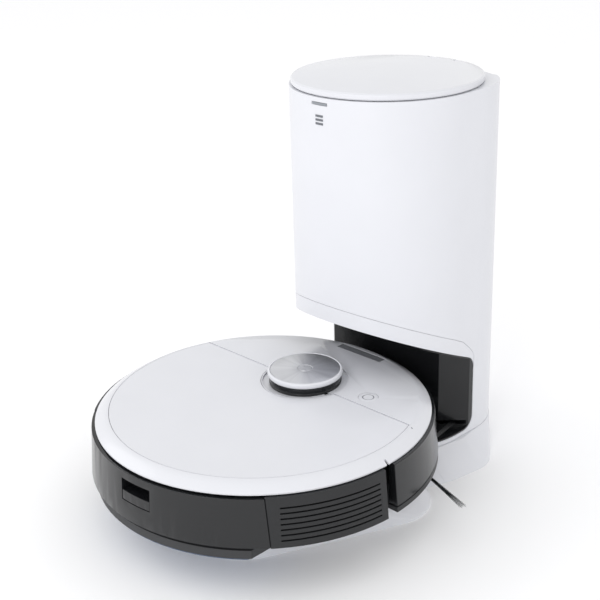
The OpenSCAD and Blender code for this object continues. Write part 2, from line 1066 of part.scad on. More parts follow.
// Tyre with a row of deep tread blocks.
module tyre() {
    translate([tyre_x, 0, wheel_r])
        rotate([0, 90, 0])
            difference() {
                cylinder(r = wheel_r, h = tyre_w);
                translate([0, 0, -1])
                    cylinder(r = wheel_r - 7, h = tyre_w + 2);
                for (a = [0:15:345])
                    rotate([0, 0, a])
                        translate([wheel_r - 1.8, -1.3, -1])
                            cube([5, 2.6, tyre_w + 2]);
            }
}

module tyre_right() {
    color(black)
        docked()
            tyre();
}

module tyre_left() {
    color(black)
        docked()
            mirror([1, 0, 0])
                tyre();
}

module caster_fork() {
    color(grey)
        docked()
            translate([0, caster_y, 0])
                difference() {
                    union() {
                        disc(13, caster_r + 12.4, 25.6);
                        disc(4, 25.5, 35);
                        for (x = [-8, 5.4])
                            box([x, -trail - 4, caster_r - 3.5], [x + 2.6, -trail + 4, caster_r + 12.5]);
                    }
                    rod_x(-10, 10, -trail, caster_r + 0.2, 1.6 + 0.02);
                }
}

module caster_wheel() {
    color(dark)
        docked()
            translate([0, caster_y - trail, caster_r + 0.2]) {
                rod_x(-5, 5, 0, 0, caster_r);
                rod_x(-7.8, 7.8, 0, 0, 1.6 - 0.03);
            }
}

module main_brush() {
    color([0.85, 0.45, 0.2])
        docked()
            translate([0, brush_y, brush_z]) {
                rod_x(-brush_len / 2, brush_len / 2, 0, 0, 9);
                rod_x(-82, 82, 0, 0, 3);
                for (a = [0:60:300])
                    rotate([a, 0, 0])
                        box([1 - brush_len / 2, -1.3, 6], [brush_len / 2 - 1, 1.3, brush_r - 0.1]);
            }
}

// Hub with three short arms; the fibres are a piece of their own.
module side_brush() {
    translate([hub_x, hub_y, 0]) {
        disc(11, 6, ground_gap - 2.5);
        disc(4, ground_gap - 2.6, ground_gap + 20);
        for (a = arm_angles)
            rotate([0, 0, a])
                hull() {
                    translate([8, 0, 8.6])
                        cube([2, 7, 3.6], center = true);
                    translate([arm_r - 1, 0, 2.6])
                        cube([2, 5, 3], center = true);
                }
    }
}

module side_brush_right() {
    color(grey)
        docked()
            side_brush();
}

module side_brush_left() {
    color(grey)
        docked()
            mirror([1, 0, 0])
                side_brush();
}

// Three flat tufts that start at the arms' ends.
module bristles() {
    translate([hub_x, hub_y, 0])
        for (a = arm_angles)
            rotate([0, 0, a])
                box([arm_r, -1.6, 1.4], [side_brush_r, 1.6, 3.6]);
}

module bristles_right() {
    color(black)
        docked()
            bristles();
}

module bristles_left() {
    color(black)
        docked()
            mirror([1, 0, 0])
                bristles();
}

dock_plate();
bottom_cover();
tower_base();
tower_shell();
mouth_trim();
neck_panel();
station_lid();
lid_hinge_pin();
dust_bag();
bag_collar();
suction_motor();
dust_duct();
port_seal();
charge_contacts();
light_bar();
bag_symbol();
grip_pads();
power_inlet();
chassis();
top_shell();
inner_deck();
hinge_pins();
grille_right();
grille_left();
turret_window();
turret_cap();
cap_disc();
turret_drum();
front_window();
power_button();
robot_lid();
dust_bin();
bin_filter();
blower_fan();
battery();
battery_door();
main_board();
brush_guard();
cliff_sensors();
charge_pads();
bumper_shell();
bumper_strip();
water_tank();
fill_plug();
tank_latch();
mop_plate();
mop_pad();
wheel_arm_right();
wheel_arm_left();
wheel_hub_right();
wheel_hub_left();
tyre_right();
tyre_left();
caster_fork();
caster_wheel();
main_brush();
side_brush_right();
side_brush_left();
bristles_right();
bristles_left();
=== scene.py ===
"""Looks of a docked robot vacuum: rounded shells, brushes, soft pieces, finishes, light and camera."""

import json
import math

import bmesh
import bpy
import numpy as np
from bpy.props import FloatProperty, FloatVectorProperty, IntProperty, PointerProperty
from mathutils import Matrix, Vector

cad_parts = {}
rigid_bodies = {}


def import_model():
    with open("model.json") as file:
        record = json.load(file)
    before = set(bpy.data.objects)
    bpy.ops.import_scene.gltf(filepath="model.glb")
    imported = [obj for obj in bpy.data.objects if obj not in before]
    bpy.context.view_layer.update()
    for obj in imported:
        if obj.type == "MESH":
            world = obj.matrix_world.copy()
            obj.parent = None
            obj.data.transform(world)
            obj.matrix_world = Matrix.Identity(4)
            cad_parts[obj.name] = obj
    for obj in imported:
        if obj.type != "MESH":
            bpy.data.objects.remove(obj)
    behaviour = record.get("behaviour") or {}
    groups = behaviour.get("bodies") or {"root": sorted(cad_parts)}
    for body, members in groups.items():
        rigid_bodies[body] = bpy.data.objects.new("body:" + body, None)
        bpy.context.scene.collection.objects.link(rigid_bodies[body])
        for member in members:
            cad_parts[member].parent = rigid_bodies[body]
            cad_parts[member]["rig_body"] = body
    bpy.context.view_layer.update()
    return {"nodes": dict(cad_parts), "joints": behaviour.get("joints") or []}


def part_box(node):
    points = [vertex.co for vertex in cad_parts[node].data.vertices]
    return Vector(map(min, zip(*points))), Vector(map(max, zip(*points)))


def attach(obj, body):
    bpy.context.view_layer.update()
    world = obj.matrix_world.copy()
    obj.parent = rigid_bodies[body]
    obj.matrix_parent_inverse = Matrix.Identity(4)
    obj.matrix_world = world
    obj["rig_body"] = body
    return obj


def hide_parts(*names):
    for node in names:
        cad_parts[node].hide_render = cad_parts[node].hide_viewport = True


bl_info = {
    "name": "Docked Robot Vacuum",
    "version": (1, 0, 0),
    "blender": (4, 5, 0),
    "location": "View3D > Sidebar > Vacuum",
    "description": "Finishes a robot vacuum on its self-emptying station",
    "category": "Object",
}

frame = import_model()
MM = 0.001
ROUND = 2 * math.pi
# Tufts of a side brush, fins of the main brush, and the facets round the turned pieces
TUFTS = 3
FINS = 6
TURRET_STEPS = 200
BUTTON_STEPS = 120
CORE_STEPS = 48
# Places and widths of the stage, in metres; the sensor width is in mm
LIT_POINT = Vector((0, 0.1, 0.15))
FLOOR_SIZE = 12.0
SENSOR_WIDTH = 36.0
# Name, place, width in metres and power in watts of each soft light
LIGHTS = (("key", (0.75, -2.1, 0.9), 1.1, 14), ("left", (-2.0, -0.9, 1.6), 1.4, 6))


# ---------- colours and node trees ----------


def linear(code):
    """Scene-linear red, green, blue and alpha of an sRGB hex value such as "E9EAEE"."""
    srgb = np.array([int(code[i:i + 2], 16) for i in (0, 2, 4)]) / 255
    rgb = np.where(srgb <= 0.04045, srgb / 12.92, ((srgb + 0.055) / 1.055) ** 2.4)
    return (*rgb.tolist(), 1.0)


def add(tree, kind, settings=None, **inputs):
    """Adds a node; settings are its attributes, inputs are values or sockets (underscore for a space)."""
    node = tree.nodes.new(kind)
    for key, value in (settings or {}).items():
        setattr(node, key, value)
    for key, value in inputs.items():
        numbered = key[0] == "n" and key[1:].isdigit()
        socket = node.inputs[int(key[1:]) if numbered else key.replace("_", " ")]
        if isinstance(value, bpy.types.NodeSocket):
            tree.links.new(value, socket)
        else:
            socket.default_value = value
    return node


def start(name, **shader):
    """A new material with its node tree, its Principled shader and a socket of Object coordinates."""
    material = bpy.data.materials.new(name)
    material.use_nodes = True
    tree = material.node_tree
    tree.nodes.clear()
    bsdf = add(tree, "ShaderNodeBsdfPrincipled", None, **shader)
    add(tree, "ShaderNodeOutputMaterial", None, Surface=bsdf.outputs["BSDF"])
    return material, tree, bsdf, add(tree, "ShaderNodeTexCoord").outputs["Object"]


def grain(name, code, other, roughness, spread, size_mm, height_mm, mottle_mm=60, **shader):
    """A moulded finish: two near colours in soft clouds, uneven roughness and a fine raised grain."""
    material, tree, bsdf, place = start(name, **shader)
    clouds = add(tree, "ShaderNodeTexNoise", None, Vector=place, Scale=1 / (mottle_mm * MM), Detail=2.0)
    colour = add(tree, "ShaderNodeMix", {"data_type": "RGBA"}, Factor=clouds.outputs["Fac"])
    colour.inputs[6].default_value = linear(code)
    colour.inputs[7].default_value = linear(other)
    fine = add(tree, "ShaderNodeTexNoise", None, Vector=place, Scale=1 / (size_mm * MM), Detail=3.0)
    rough = add(tree, "ShaderNodeMapRange", None, Value=fine.outputs["Fac"],
                To_Min=roughness - spread, To_Max=roughness + spread)
    bump = add(tree, "ShaderNodeBump", None, Height=fine.outputs["Fac"], Distance=height_mm * MM)
    tree.links.new(colour.outputs[2], bsdf.inputs["Base Color"])
    tree.links.new(rough.outputs["Result"], bsdf.inputs["Roughness"])
    tree.links.new(bump.outputs["Normal"], bsdf.inputs["Normal"])
    return material


def satin_white_abs():
    """ABS from a polished mould, lightly satin: a soft highlight and hardly any texture."""
    return grain("satin_white_abs", "DCDDE2", "D8D9DE", 0.34, 0.03, 0.8, 0.003, IOR=1.5, Coat_Weight=0.15,
                 Coat_Roughness=0.12)


def gloss_white_abs():
    """The glossier white of the station's lid and the robot's top."""
    return grain("gloss_white_abs", "DADBE0", "D6D7DC", 0.24, 0.03, 1.2, 0.002, IOR=1.5, Coat_Weight=0.3,
                 Coat_Roughness=0.06)


def piano_black_abs():
    """High-gloss black ABS: deep colour under a clear sharp reflection."""
    return grain("piano_black_abs", "141517", "1A1B1D", 0.2, 0.04, 1.5, 0.002, IOR=1.46, Coat_Weight=0.1,
                 Coat_Roughness=0.05)


def satin_black_abs():
    """Black ABS with a spark-eroded mould texture: a broad dull highlight."""
    return grain("satin_black_abs", "191A1C", "1F2022", 0.42, 0.06, 0.9, 0.02, IOR=1.46)


def grey_window():
    """Smoke-grey polycarbonate over the forward sensors, smooth and a little shiny."""
    return grain("grey_window", "76787C", "7E8084", 0.3, 0.03, 2.0, 0.002, IOR=1.585)


def dark_polypropylene():
    """Dark grey polypropylene of hidden housings, waxy and grained."""
    return grain("dark_polypropylene", "2A2B2D", "343537", 0.55, 0.08, 0.8, 0.04, IOR=1.49)


def grey_nylon():
    """Grey glass-filled nylon: matt with a dry mottled skin."""
    return grain("grey_nylon", "6C6E72", "777A7E", 0.5, 0.1, 0.7, 0.03, mottle_mm=12, IOR=1.53)


def smoked_polycarbonate():
    """Smoke-tinted polycarbonate of the dust bin."""
    return grain("smoked_polycarbonate", "303338", "3A3E44", 0.15, 0.03, 2.0, 0.002, IOR=1.585,
                 Coat_Weight=0.3)


def soft_rubber():
    """Black thermoplastic rubber: dry, dull and very slightly dusty."""
    return grain("soft_rubber", "202122", "2A2B2C", 0.75, 0.08, 0.6, 0.03, mottle_mm=8, IOR=1.5)


def orange_silicone():
    """Orange silicone of the brush fins, slightly translucent at the edges."""
    return grain("orange_silicone", "C8642A", "B4551F", 0.5, 0.08, 0.9, 0.02, IOR=1.43,
                 Subsurface_Weight=0.1)


def frosted_acrylic():
    """Frosted light pipe: an even pale grey that scatters the light."""
    return grain("frosted_acrylic", "8E9298", "84888E", 0.45, 0.05, 0.5, 0.01, mottle_mm=5, IOR=1.49)


def printed_ink():
    """Pad-printed grey ink, matt on the satin shell."""
    return grain("printed_ink", "6E7177", "66696F", 0.6, 0.05, 0.4, 0.01, mottle_mm=4, IOR=1.5)


def shrink_film():
    """Blue shrink film round the battery cells."""
    return grain("shrink_film", "24406E", "1C3358", 0.3, 0.06, 6.0, 0.1, mottle_mm=20, IOR=1.5)


def solder_mask():
    """Green solder mask on the circuit board, mottled in two near greens."""
    return grain("solder_mask", "12482A", "1B5E38", 0.35, 0.05, 1.0, 0.02, mottle_mm=3, IOR=1.5)


def turned_steel():
    """Nickel-plated steel with fine turning marks."""
    return grain("turned_steel", "B9BBBF", "A7AAAE", 0.28, 0.06, 0.3, 0.01, mottle_mm=6, Metallic=1.0)


def spun_aluminium(centre):
    """Aluminium disc spun with a fine tool: rings 0.6 mm apart spread each highlight into a fan, and the base
    colour is painted lighter and darker in fans by angle round the centre, a painted highlight.
    """
    material, tree, bsdf, place = start("spun_aluminium", Metallic=1.0)
    moved = add(tree, "ShaderNodeMapping", None, Vector=place, Location=(-centre[0], -centre[1], 0))
    rings = add(tree, "ShaderNodeTexWave", {"wave_type": "RINGS", "rings_direction": "Z"},
                Vector=moved.outputs["Vector"], Scale=0.314 / (0.6 * MM), Distortion=1.5, Detail=2.0)
    # Angle round the disc's centre, which places the painted highlight fans
    painted_streak_angle = add(tree, "ShaderNodeTexGradient", {"gradient_type": "RADIAL"}, Vector=moved.outputs["Vector"])
    painted_highlight_fans = add(tree, "ShaderNodeTexNoise", {"noise_dimensions": "1D"}, W=painted_streak_angle.outputs["Fac"], Scale=14.0,
               Detail=3.0)
    # Base colour painted pale and dark in fans by angle: painted highlight streaks; the same fans also vary
    # the roughness
    colour = add(tree, "ShaderNodeMix", {"data_type": "RGBA"}, Factor=painted_highlight_fans.outputs["Fac"])
    colour.inputs[6].default_value = linear("B2B3B8")
    colour.inputs[7].default_value = linear("DEDFE2")
    tree.links.new(colour.outputs[2], bsdf.inputs["Base Color"])
    rough = add(tree, "ShaderNodeMapRange", None, Value=painted_highlight_fans.outputs["Fac"], To_Min=0.24, To_Max=0.4)
    tree.links.new(rough.outputs["Result"], bsdf.inputs["Roughness"])
    bump = add(tree, "ShaderNodeBump", None, Height=rings.outputs["Fac"], Distance=0.03 * MM)
    tree.links.new(bump.outputs["Normal"], bsdf.inputs["Normal"])
    return material


def woven(name, code, other, thread_mm, height_mm, **shader):
    """Cloth: two crossing waves of threads, one pair of near colours, raised by the threads."""
    material, tree, bsdf, place = start(name, **shader)
    waves = [add(tree, "ShaderNodeTexWave", {"bands_direction": axis}, Vector=place,
                 Scale=0.314 / (thread_mm * MM), Distortion=0.8, Detail=1.0).outputs["Fac"] for axis in "XY"]
    cross = add(tree, "ShaderNodeMath", {"operation": "MULTIPLY"}, n0=waves[0], n1=waves[1])
    colour = add(tree, "ShaderNodeMix", {"data_type": "RGBA"}, Factor=cross.outputs["Value"])
    colour.inputs[6].default_value = linear(code)
    colour.inputs[7].default_value = linear(other)
    bump = add(tree, "ShaderNodeBump", None, Height=cross.outputs["Value"], Distance=height_mm * MM)
    tree.links.new(colour.outputs[2], bsdf.inputs["Base Color"])
    tree.links.new(bump.outputs["Normal"], bsdf.inputs["Normal"])
    return material


def microfibre():
    """Looped microfibre of the mop pad: 1.6 mm loops, blue-grey, very matt."""
    return woven("microfibre", "5E6F8C", "7C8CA6", 1.6, 0.5, Roughness=0.95, Sheen_Weight=0.5,
                 Sheen_Roughness=0.5)


def fleece_paper():
    """Pressed fleece of bag and filter: pale, fibrous, very matt."""
    return woven("fleece_paper", "CFC9BA", "DDD8CB", 1.2, 0.15, Roughness=0.95, Sheen_Weight=0.2)


def nylon_fibre():
    """Black nylon fibre, a little shiny along its length."""
    return grain("nylon_fibre", "1C1D1F", "26272A", 0.4, 0.05, 0.5, 0.01, mottle_mm=5, IOR=1.53)


# ---------- surfaces ----------


def fillet(points, radii, steps=6):
    """Closed outline; each corner becomes the parabola that meets both sides at the given distance."""
    corner = np.asarray(points, float)
    ends = []
    for shift in (1, -1):
        side = np.roll(corner, shift, 0) - corner
        length = np.linalg.norm(side, axis=1)
        reach = np.minimum(np.broadcast_to(radii, length.shape), 0.49 * length)
        ends.append(corner + side * (reach / length)[:, None])
    t = np.linspace(0, 1, steps)[None, :, None]
    curve = ends[0][:, None] * (1 - t) ** 2 + corner[:, None] * 2 * t * (1 - t) + ends[1][:, None] * t ** 2
    return curve.reshape(-1, 2)


def quads(rows, columns, wrap_rows, wrap_columns):
    """Corner numbers of the faces between neighbouring rows and columns of a grid."""
    r = np.arange(rows if wrap_rows else rows - 1)[:, None]
    c = np.arange(columns if wrap_columns else columns - 1)[None, :]
    r2, c2 = (r + 1) % rows, (c + 1) % columns
    corners = [r * columns + c, r2 * columns + c, r2 * columns + c2, r * columns + c2]
    return np.stack(corners, -1).reshape(-1, 4)


def make(name, points, faces, body, material, smooth_angle=35):
    """A mesh piece from points in metres: welded, faces outward, smooth up to the given angle."""
    mesh = bpy.data.meshes.new(name)
    mesh.from_pydata(np.asarray(points, float).reshape(-1, 3).tolist(), [], faces)
    piece = bpy.data.objects.new(name, mesh)
    bpy.context.scene.collection.objects.link(piece)
    weld(mesh)
    return dress(piece, body, material, smooth_angle)


def weld(mesh, outward=True):
    """Merges doubled corners and, for a new shape, turns its faces outward."""
    work = bmesh.new()
    work.from_mesh(mesh)
    bmesh.ops.remove_doubles(work, verts=work.verts, dist=0.002 * MM)
    if outward:
        bmesh.ops.recalc_face_normals(work, faces=work.faces)
    work.to_mesh(mesh)
    work.free()


def dress(piece, body, material, smooth_angle):
    """Gives a piece its finish, shading, body and material slot."""
    piece.data.materials.clear()
    piece.data.materials.append(material)
    piece.data.shade_smooth()
    piece.data.set_sharp_from_angle(angle=math.radians(smooth_angle))
    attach(piece, body)
    return piece


def lathe(name, profile, body, material, centre, steps):
    """A closed profile of radius and height in mm, turned once about an upright axis."""
    outline = np.asarray(profile, float) * MM
    turn = np.linspace(0, ROUND, steps, endpoint=False)
    radius, height = outline[None, :, 0], outline[None, :, 1]
    grid = np.stack([centre[0] + radius * np.cos(turn)[:, None], centre[1] + radius * np.sin(turn)[:, None],
                     np.broadcast_to(height, (steps, len(outline)))], -1)
    faces = quads(steps, len(outline), True, True).tolist()
    return make(name, grid, faces, body, material)


def tube(centres, radius_a, radius_b, sides):
    """Grids of round rods: rings of the two radii, along Y and Z, about each point of straightish X paths."""
    turn = np.linspace(0, ROUND, sides, endpoint=False)
    ring = np.stack([np.zeros(sides), np.cos(turn), np.sin(turn)], -1)
    width = np.stack([np.ones_like(radius_a), radius_a, radius_b], -1)
    return centres[..., None, :] + ring * width[..., None, :]


def pillow(outline, low, high, rings=18, edge=0.35):
    """Crowned closed form over an outline: height falls as the square root of one less the distance out to
    the eighth power, on top and underneath, with a rounded seam between."""
    outline = np.asarray(outline, float)
    middle = outline.mean(0)
    out = np.sin(np.linspace(0, math.pi / 2, rings)) ** 0.8
    flat = middle + (outline - middle)[None] * out[:, None, None]
    rise = (1 - out ** 8) ** 0.5 * (high - low) / 2
    half = (low + high) / 2
    top = np.concatenate([flat, np.broadcast_to((half + rise)[:, None, None], flat.shape[:2] + (1,))], -1)
    under = np.concatenate([flat, np.broadcast_to((half - rise)[:, None, None], flat.shape[:2] + (1,))], -1)
    return np.concatenate([top, under[::-1]], 0)


def softened(node, material, width, body=None, smooth_angle=35, segments=2):
    """A CAD piece with its sharp edges rounded: its corners are merged, flat faces joined, edges bevelled."""
    source = frame["nodes"][node]
    piece = bpy.data.objects.new(node + "_shell", source.data.copy())
    bpy.context.scene.collection.objects.link(piece)
    work = bmesh.new()
    work.from_mesh(piece.data)
    bmesh.ops.remove_doubles(work, verts=work.verts, dist=0.01 * MM)
    bmesh.ops.dissolve_limit(work, angle_limit=math.radians(0.4), verts=work.verts, edges=work.edges)
    work.to_mesh(piece.data)
    work.free()
    if width:
        bevel = piece.modifiers.new("edges", "BEVEL")
        bevel.width = width
        bevel.segments = segments
        bevel.limit_method = "ANGLE"
        bevel.angle_limit = math.radians(smooth_angle)
        bevel.harden_normals = True
    dress(piece, body or source["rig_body"], material, smooth_angle)
    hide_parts(node)
    return piece


def paint(material, *nodes):
    """Gives CAD pieces that keep their own mesh a finish."""
    for node in nodes:
        mesh = frame["nodes"][node].data
        mesh.materials.clear()
        mesh.materials.append(material)


def middle_of(node):
    """Centre of a CAD node's box."""
    low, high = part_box(node)
    return (low + high) / 2


# ---------- settings ----------


class VacuumSizes(bpy.types.PropertyGroup):
    """Sizes of the drawn details."""

    shell_edge: FloatProperty(name="Shell edge", description="Rounding of the large shells' edges",
                              default=0.9 * MM, min=0, unit="LENGTH")
    trim_edge: FloatProperty(name="Trim edge", description="Rounding of small pieces' edges",
                             default=0.35 * MM, min=0, unit="LENGTH")
    fin_twist: FloatProperty(name="Fin twist", description="Turn of a brush fin from the middle to one end",
                             default=math.radians(70), subtype="ANGLE")
    fin_wave: FloatProperty(name="Fin thickness", description="Thickness of a brush fin",
                            default=2.0 * MM, unit="LENGTH")
    fibres: IntProperty(name="Fibres", description="Fibres in one tuft of a side brush", default=26, min=3)
    fibre_width: FloatProperty(name="Fibre thickness", description="Thickness of a side brush fibre",
                               default=0.45 * MM, unit="LENGTH")
    tuft_spread: FloatProperty(name="Tuft spread", description="Width of a tuft at its tip",
                               default=7 * MM, unit="LENGTH")
    first_tuft: FloatProperty(name="First tuft", description="Turn of the first tuft from straight right",
                              default=math.radians(-19), subtype="ANGLE")
    fibre_reach: FloatProperty(name="Fibre reach", description="Distance of the tips from the brush's axis",
                               default=106 * MM, unit="LENGTH")
    fibre_root: FloatProperty(name="Fibre root", description="Distance of the roots from the brush's axis",
                              default=30 * MM, unit="LENGTH")


class VacuumColours(bpy.types.PropertyGroup):
    """Colours of the floor and the light."""

    floor: FloatVectorProperty(name="Floor", description="Colour of the floor", subtype="COLOR",
                               default=linear("FDFDFE")[:3])
    light: FloatVectorProperty(name="Light", description="Colour of the studio light", subtype="COLOR",
                               default=linear("FFFFFF")[:3])


class VacuumStage(bpy.types.PropertyGroup):
    """Camera and light."""

    azimuth: FloatProperty(name="Azimuth", description="Camera's turn to the right of the front",
                           default=math.radians(45.5), subtype="ANGLE")
    elevation: FloatProperty(name="Elevation", description="Camera's height above the horizon",
                             default=math.radians(22.25), subtype="ANGLE")
    roll: FloatProperty(name="Roll", description="Camera's turn about its own view line",
                        default=math.radians(-1.78), subtype="ANGLE")
    distance: FloatProperty(name="Distance", description="Camera's distance from its aim",
                            default=1.601, unit="LENGTH")
    aim: FloatVectorProperty(name="Aim", description="Point in the middle of the view",
                             default=(-0.2310, 0.2856, 0.080), subtype="XYZ", unit="LENGTH")
    lens: FloatProperty(name="Lens", description="Focal length", default=71.12, unit="CAMERA")
    surround: FloatProperty(name="Surround", description="Strength of the light from all round",
                            default=1.0, min=0)


# ---------- operators ----------


class VACUUM_OT_stage(bpy.types.Operator):
    """Lay the pale floor, hang the soft lights and place the camera"""

    bl_idname = "vacuum.stage"
    bl_label = "Stage"

    def execute(self, context):
        stage, colours = context.scene.vacuum_stage, context.scene.vacuum_colours
        mesh = bpy.data.meshes.new("floor")
        half = FLOOR_SIZE / 2
        corners = [(-half, -half, 0), (half, -half, 0), (half, half, 0), (-half, half, 0)]
        mesh.from_pydata(corners, [], [(0, 1, 2, 3)])
        floor = bpy.data.objects.new("floor", mesh)
        context.scene.collection.objects.link(floor)
        material, _, bsdf, _ = start("matt_studio_paper", Roughness=0.9)
        bsdf.inputs["Base Color"].default_value = (*colours.floor, 1)
        mesh.materials.append(material)

        world = bpy.data.worlds.new("studio")
        context.scene.world = world
        world.use_nodes = True
        world.node_tree.nodes["Background"].inputs["Color"].default_value = (*colours.light, 1)
        world.node_tree.nodes["Background"].inputs["Strength"].default_value = stage.surround
        context.scene.view_settings.view_transform = "Standard"
        for name, place, size, power in LIGHTS:
            light = bpy.data.lights.new(name, "AREA")
            light.size = size
            light.energy = power
            light.color = colours.light
            lamp = bpy.data.objects.new(name, light)
            lamp.location = place
            lamp.rotation_euler = (LIT_POINT - Vector(place)).to_track_quat("-Z", "Y").to_euler()
            context.scene.collection.objects.link(lamp)

        a, e, r = stage.azimuth, stage.elevation, stage.roll
        back = Vector((math.sin(a) * math.cos(e), -math.cos(a) * math.cos(e), math.sin(e)))
        right = Vector((0, 0, 1)).cross(back).normalized()
        up = back.cross(right)
        side = right * math.cos(r) + up * math.sin(r)
        head = up * math.cos(r) - right * math.sin(r)
        data = bpy.data.cameras.new("camera")
        data.lens = stage.lens
        data.sensor_width = SENSOR_WIDTH
        camera = bpy.data.objects.new("camera", data)
        turn = Matrix((side, head, back)).transposed().to_4x4()
        camera.matrix_world = Matrix.Translation(Vector(stage.aim) + back * stage.distance) @ turn
        context.scene.collection.objects.link(camera)
        context.scene.camera = camera
        return {"FINISHED"}


class VACUUM_OT_station_shells(bpy.types.Operator):
    """Round and finish the station's outer shells"""

    bl_idname = "vacuum.station_shells"
    bl_label = "Station shells"

    def execute(self, context):
        sizes = context.scene.vacuum_sizes
        white, gloss, black = satin_white_abs(), gloss_white_abs(), piano_black_abs()
        for node in ("tower_shell", "tower_base", "dock_plate"):
            softened(node, white, sizes.shell_edge)
        softened("mouth_trim", white, sizes.trim_edge)
        softened("station_lid", gloss, sizes.shell_edge)
        softened("neck_panel", black, sizes.trim_edge)
        softened("light_bar", frosted_acrylic(), 0.1 * MM)
        paint(printed_ink(), "bag_symbol")
        paint(black, "power_inlet")
        return {"FINISHED"}


class VACUUM_OT_station_inside(bpy.types.Operator):
    """Finish what the station holds and stands on"""

    bl_idname = "vacuum.station_inside"
    bl_label = "Station inside"

    def execute(self, context):
        paint(dark_polypropylene(), "bottom_cover", "suction_motor")
        paint(grey_nylon(), "dust_duct")
        paint(soft_rubber(), "port_seal", "bag_collar", "grip_pads")
        paint(turned_steel(), "charge_contacts", "lid_hinge_pin")
        low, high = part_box("dust_bag")
        middle, radius = (low + high) / 2, (high.x - low.x) / 2
        turn = np.linspace(0, ROUND, 144, endpoint=False)
        reach = radius * (0.975 + 0.025 * np.cos(12 * turn))
        outline = np.stack([middle.x + reach * np.cos(turn), middle.y + reach * np.sin(turn)], -1)
        grid = pillow(outline, low.z, high.z)
        bag = make("fleece_bag", grid, quads(len(grid), len(outline), False, True).tolist(), "station",
                   fleece_paper(), 60)
        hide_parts("dust_bag")
        return {"FINISHED"}


class VACUUM_OT_robot_shells(bpy.types.Operator):
    """Round and finish the robot's white top and its lid"""

    bl_idname = "vacuum.robot_shells"
    bl_label = "Robot shells"

    def execute(self, context):
        sizes = context.scene.vacuum_sizes
        gloss = gloss_white_abs()
        softened("top_shell", gloss, sizes.trim_edge)
        softened("robot_lid", gloss, sizes.trim_edge)
        softened("front_window", grey_window(), 0.1 * MM)
        return {"FINISHED"}


class VACUUM_OT_side_panels(bpy.types.Operator):
    """Round and finish the bumper, the slotted panels, the water tank and its latch"""

    bl_idname = "vacuum.side_panels"
    bl_label = "Side panels"

    def execute(self, context):
        sizes = context.scene.vacuum_sizes
        gloss, satin = piano_black_abs(), satin_black_abs()
        for node in ("bumper_shell", "water_tank", "tank_latch"):
            edge = sizes.trim_edge if node == "tank_latch" else sizes.shell_edge
            softened(node, gloss, edge)
        for node in ("grille_right", "grille_left"):
            softened(node, satin, sizes.trim_edge)
        softened("bumper_strip", satin, sizes.trim_edge)
        paint(dark_polypropylene(), "fill_plug")
        return {"FINISHED"}


class VACUUM_OT_turret(bpy.types.Operator):
    """Turn the sensor turret's cap, silver disc and window, and the power button"""

    bl_idname = "vacuum.turret"
    bl_label = "Sensor turret"

    def execute(self, context):
        white, black = gloss_white_abs(), piano_black_abs()
        low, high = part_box("turret_cap")
        centre = middle_of("turret_cap")
        radius, base, top = (high.x - low.x) / 2 / MM, low.z / MM, high.z / MM
        seat = radius - 3.0
        profile = fillet([(0, base), (radius - 1, base), (radius, base + 2), (radius, top - 1.2),
                          (radius - 1.4, top), (seat + 0.4, top), (seat, top - 1), (0, top - 1)],
                         [0.01, 0.5, 0.8, 0.9, 0.9, 0.4, 0.2, 0.01])
        cap = lathe("cap_ring", profile, "robot", white, centre, TURRET_STEPS)
        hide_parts("turret_cap")

        low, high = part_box("cap_disc")
        radius, base, top = (high.x - low.x) / 2 / MM, low.z / MM, high.z / MM
        outer, inner, groove = 8.4, 7.0, top - 0.35
        profile = [(0, base), (radius - 0.2, base), (radius, base + 0.3), (radius, top - 0.2),
                   (radius - 0.3, top), (outer, top), (outer - 0.2, groove), (inner + 0.2, groove),
                   (inner, top), (0, top)]
        metal = spun_aluminium(centre)
        disc = lathe("silver_disc", profile, "robot", metal, centre, TURRET_STEPS)
        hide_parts("cap_disc")

        low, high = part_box("turret_window")
        radius, base, top = (high.x - low.x) / 2 / MM, low.z / MM, high.z / MM
        inner = radius - 1.5
        profile = fillet([(inner, base), (radius, base), (radius, base + 2.2), (radius - 0.5, base + 2.5),
                          (radius - 0.5, top - 0.6), (radius, top - 0.3), (radius, top), (inner, top)], 0.2)
        window = lathe("window_band", profile, "robot", black, centre, TURRET_STEPS)
        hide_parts("turret_window")
        paint(satin_black_abs(), "turret_drum")

        low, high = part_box("power_button")
        centre = middle_of("power_button")
        flange, base, top = (high.x - low.x) / 2 / MM, low.z / MM, high.z / MM
        radius, step = flange - 1.6, base + 1.2
        outer, inner, groove = 6.2, 5.5, top - 0.6
        profile = [(0, base), (flange, base), (flange, step), (radius, step), (radius, top - 0.5),
                   (radius - 0.15, top - 0.15), (radius - 0.5, top), (outer + 0.2, top - 0.15),
                   (outer, groove), (inner, groove), (inner - 0.2, top - 0.2), (0, top - 0.35)]
        button = lathe("round_button", profile, "button", white, centre, BUTTON_STEPS)
        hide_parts("power_button")
        proud = top - 0.25
        ring = fillet([(inner, groove), (outer, groove), (outer, proud), (inner, proud)], 0.1)
        lathe("button_ring", ring, "button", printed_ink(), centre, BUTTON_STEPS)
        return {"FINISHED"}


class VACUUM_OT_robot_inside(bpy.types.Operator):
    """Finish the robot's chassis and what it holds"""

    bl_idname = "vacuum.robot_inside"
    bl_label = "Robot inside"

    def execute(self, context):
        paint(dark_polypropylene(), "chassis", "blower_fan", "battery_door", "cliff_sensors", "mop_plate")
        paint(grey_nylon(), "inner_deck", "brush_guard", "wheel_arm_right", "wheel_arm_left", "caster_fork")
        paint(smoked_polycarbonate(), "dust_bin")
        paint(turned_steel(), "hinge_pins", "charge_pads")
        paint(shrink_film(), "battery")
        paint(solder_mask(), "main_board")
        paint(soft_rubber(), "caster_wheel")
        paint(fleece_paper(), "bin_filter")
        return {"FINISHED"}


